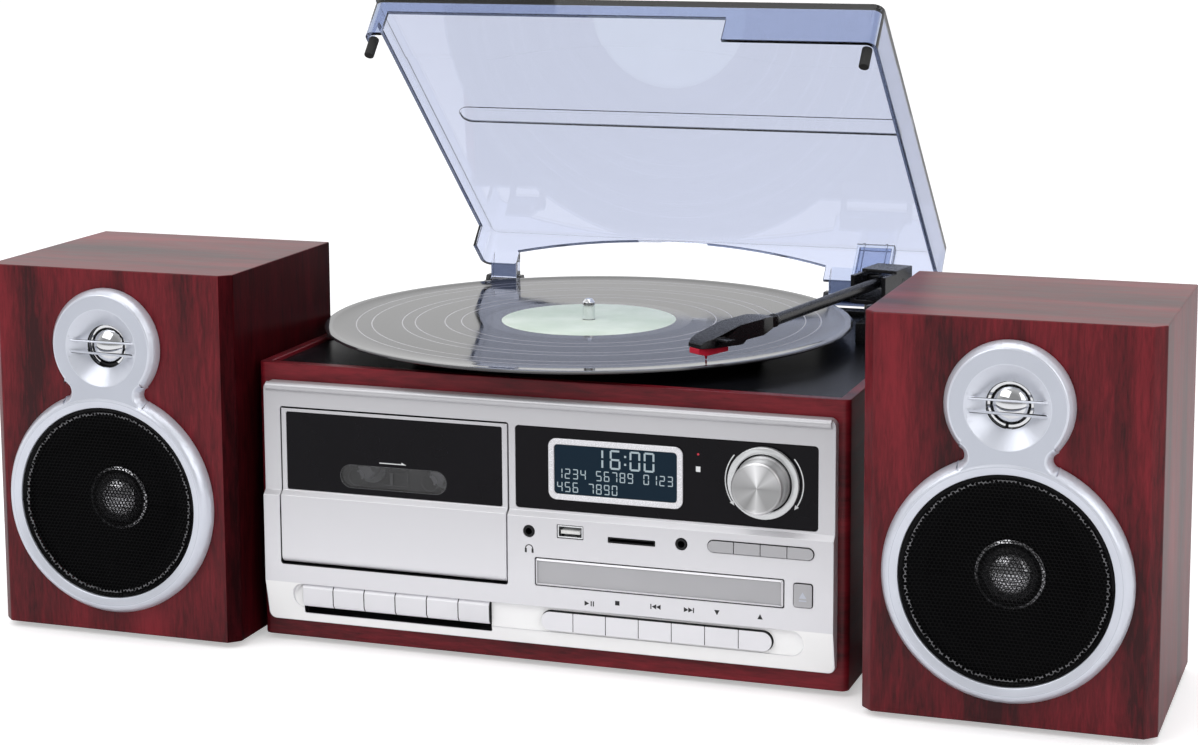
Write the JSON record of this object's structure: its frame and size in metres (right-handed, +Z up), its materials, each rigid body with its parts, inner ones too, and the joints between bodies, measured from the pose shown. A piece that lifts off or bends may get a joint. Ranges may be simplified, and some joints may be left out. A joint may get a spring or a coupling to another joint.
{
  "type": "stereo music centre",
  "caption": "Wooden music centre with record player under an open clear lid, cassette bay, disc tray, display, knob, buttons, and two separate speakers.",
  "frame": {"origin": "middle of the whole set's bounding box at floor level, lid open", "axes": "+Z up, -Y towards the listener (front panel side), +X to the listener's right"},
  "size_m": [0.6402, 0.3176, 0.3484],
  "materials": {
    "wood": "satin",
    "deck_black": "gloss",
    "panel_black": "matte",
    "silver": "satin",
    "fascia_black": "gloss",
    "display_blue": "gloss",
    "knob_metal": "brushed",
    "bright_trim": "polished",
    "board_green": "matte",
    "smoke": "gloss",
    "mechanism": "matte",
    "spool_white": "satin",
    "key_silver": "satin",
    "tray_grey": "satin",
    "rubber_black": "matte",
    "platter_dark": "satin",
    "vinyl": "gloss",
    "motor_steel": "satin",
    "arm_black": "satin",
    "stylus_red": "satin",
    "lid_clear": "gloss",
    "sheet_steel": "satin",
    "core": "satin",
    "mesh_black": "satin",
    "cone_black": "matte",
    "dome_silver": "polished"
  },
  "bodies": {
    "base": {"cabinet_shell": "wood", "rear_panel": "panel_black", "deck_plate": "deck_black", "feet": "rubber_black", "front_bezel": "silver", "fascia_panel": "fascia_black", "display_frame": "silver", "display_module": "display_blue", "knob_ring": "bright_trim", "front_board": "board_green", "cassette_bay": "mechanism", "cassette_mechanism": "mechanism", "cd_drive": "mechanism", "platter_motor": "motor_steel", "tonearm_base": "arm_black", "hinge_brackets": "arm_black", "chassis": "sheet_steel", "main_board": "board_green", "transformer": "core", "left_speaker_box": "wood", "right_speaker_box": "wood", "left_speaker_trim": "silver", "right_speaker_trim": "silver", "speaker_grilles": "mesh_black", "woofers": "cone_black", "tweeters": "dome_silver", "speaker_terminals": "panel_black"},
    "lid_body": {"lid": "lid_clear", "lid_bumpers": "rubber_black"},
    "platter_body": {"platter": "platter_dark", "platter_mat": "rubber_black", "record": "vinyl", "spindle": "bright_trim"},
    "yoke_body": {"tonearm_yoke": "arm_black"},
    "arm_body": {"tonearm": "arm_black", "stylus": "stylus_red"},
    "knob_body": {"volume_knob": "knob_metal"},
    "door_body": {"cassette_door": "silver", "cassette_window": "smoke"},
    "left_spool_body": {"left_spool": "spool_white"},
    "right_spool_body": {"right_spool": "spool_white"},
    "tray_body": {"cd_tray": "tray_grey"},
    "eject_body": {"eject_button": "key_silver"},
    "key_1_body": {"cassette_key_1": "key_silver"},
    "key_2_body": {"cassette_key_2": "key_silver"},
    "key_3_body": {"cassette_key_3": "key_silver"},
    "key_4_body": {"cassette_key_4": "key_silver"},
    "key_5_body": {"cassette_key_5": "key_silver"},
    "key_6_body": {"cassette_key_6": "key_silver"},
    "control_1_body": {"control_button_1": "key_silver"},
    "control_2_body": {"control_button_2": "key_silver"},
    "control_3_body": {"control_button_3": "key_silver"},
    "control_4_body": {"control_button_4": "key_silver"},
    "control_5_body": {"control_button_5": "key_silver"},
    "control_6_body": {"control_button_6": "key_silver"},
    "control_7_body": {"control_button_7": "key_silver"},
    "function_1_body": {"function_button_1": "key_silver"},
    "function_2_body": {"function_button_2": "key_silver"},
    "function_3_body": {"function_button_3": "key_silver"},
    "function_4_body": {"function_button_4": "key_silver"}
  },
  "joints": [
    {"name": "lid_hinge", "type": "hinge", "parent": "base", "child": "lid_body", "pos_m": [-0.00365, 0.1367, 0.16], "axis": [-1, 0, 0], "range_deg": [-42, 6]},
    {"name": "platter_spin", "type": "hinge", "parent": "base", "child": "platter_body", "pos_m": [-0.02485, 0.008, 0.15], "axis": [0, 0, -1], "continuous": true},
    {"name": "arm_swing", "type": "hinge", "parent": "base", "child": "yoke_body", "pos_m": [0.12735, 0.1007, 0.179], "axis": [0, 0, 1], "range_deg": [-25, 16]},
    {"name": "arm_lift", "type": "hinge", "parent": "yoke_body", "child": "arm_body", "pos_m": [0.12735, 0.1007, 0.179], "axis": [-0.9823, 0.1874, 0], "range_deg": [0, 8]},
    {"name": "volume_turn", "type": "hinge", "parent": "base", "child": "knob_body", "pos_m": [0.11835, -0.1353, 0.1113], "axis": [0, 1, 0], "continuous": true},
    {"name": "door_hinge", "type": "hinge", "parent": "base", "child": "door_body", "pos_m": [-0.08705, -0.1301, 0.051], "axis": [1, 0, 0], "range_deg": [0, 25]},
    {"name": "left_spool_turn", "type": "hinge", "parent": "base", "child": "left_spool_body", "pos_m": [-0.1083, -0.1053, 0.0973], "axis": [0, 1, 0], "continuous": true},
    {"name": "right_spool_turn", "type": "hinge", "parent": "base", "child": "right_spool_body", "pos_m": [-0.0658, -0.1053, 0.0973], "axis": [0, 1, 0], "continuous": true},
    {"name": "key_1_press", "type": "slide", "parent": "base", "child": "key_1_body", "axis": [0, 0, -1], "range_m": [0, 0.004], "stiffness_N_per_m": 300, "springref_m": -0.002},
    {"name": "key_2_press", "type": "slide", "parent": "base", "child": "key_2_body", "axis": [0, 0, -1], "range_m": [0, 0.004], "stiffness_N_per_m": 300, "springref_m": -0.002},
    {"name": "key_3_press", "type": "slide", "parent": "base", "child": "key_3_body", "axis": [0, 0, -1], "range_m": [0, 0.004], "stiffness_N_per_m": 300, "springref_m": -0.002},
    {"name": "key_4_press", "type": "slide", "parent": "base", "child": "key_4_body", "axis": [0, 0, -1], "range_m": [0, 0.004], "stiffness_N_per_m": 300, "springref_m": -0.002},
    {"name": "key_5_press", "type": "slide", "parent": "base", "child": "key_5_body", "axis": [0, 0, -1], "range_m": [0, 0.004], "stiffness_N_per_m": 300, "springref_m": -0.002},
    {"name": "key_6_press", "type": "slide", "parent": "base", "child": "key_6_body", "axis": [0, 0, -1], "range_m": [0, 0.004], "stiffness_N_per_m": 300, "springref_m": -0.002},
    {"name": "control_1_press", "type": "slide", "parent": "base", "child": "control_1_body", "axis": [0, 1, 0], "range_m": [0, 0.001], "stiffness_N_per_m": 800, "springref_m": -0.001},
    {"name": "control_2_press", "type": "slide", "parent": "base", "child": "control_2_body", "axis": [0, 1, 0], "range_m": [0, 0.001], "stiffness_N_per_m": 800, "springref_m": -0.001},
    {"name": "control_3_press", "type": "slide", "parent": "base", "child": "control_3_body", "axis": [0, 1, 0], "range_m": [0, 0.001], "stiffness_N_per_m": 800, "springref_m": -0.001},
    {"name": "control_4_press", "type": "slide", "parent": "base", "child": "control_4_body", "axis": [0, 1, 0], "range_m": [0, 0.001], "stiffness_N_per_m": 800, "springref_m": -0.001},
    {"name": "control_5_press", "type": "slide", "parent": "base", "child": "control_5_body", "axis": [0, 1, 0], "range_m": [0, 0.001], "stiffness_N_per_m": 800, "springref_m": -0.001},
    {"name": "control_6_press", "type": "slide", "parent": "base", "child": "control_6_body", "axis": [0, 1, 0], "range_m": [0, 0.001], "stiffness_N_per_m": 800, "springref_m": -0.001},
    {"name": "control_7_press", "type": "slide", "parent": "base", "child": "control_7_body", "axis": [0, 1, 0], "range_m": [0, 0.001], "stiffness_N_per_m": 800, "springref_m": -0.001},
    {"name": "function_1_press", "type": "slide", "parent": "base", "child": "function_1_body", "axis": [0, 1, 0], "range_m": [0, 0.001], "stiffness_N_per_m": 800, "springref_m": -0.001},
    {"name": "function_2_press", "type": "slide", "parent": "base", "child": "function_2_body", "axis": [0, 1, 0], "range_m": [0, 0.001], "stiffness_N_per_m": 800, "springref_m": -0.001},
    {"name": "function_3_press", "type": "slide", "parent": "base", "child": "function_3_body", "axis": [0, 1, 0], "range_m": [0, 0.001], "stiffness_N_per_m": 800, "springref_m": -0.001},
    {"name": "function_4_press", "type": "slide", "parent": "base", "child": "function_4_body", "axis": [0, 1, 0], "range_m": [0, 0.001], "stiffness_N_per_m": 800, "springref_m": -0.001},
    {"name": "eject_press", "type": "slide", "parent": "base", "child": "eject_body", "axis": [0, 1, 0], "range_m": [0, 0.001], "stiffness_N_per_m": 800, "springref_m": -0.001},
    {"name": "tray_slide", "type": "slide", "parent": "base", "child": "tray_body", "axis": [0, -1, 0], "range_m": [0, 0.118]}
  ]
}
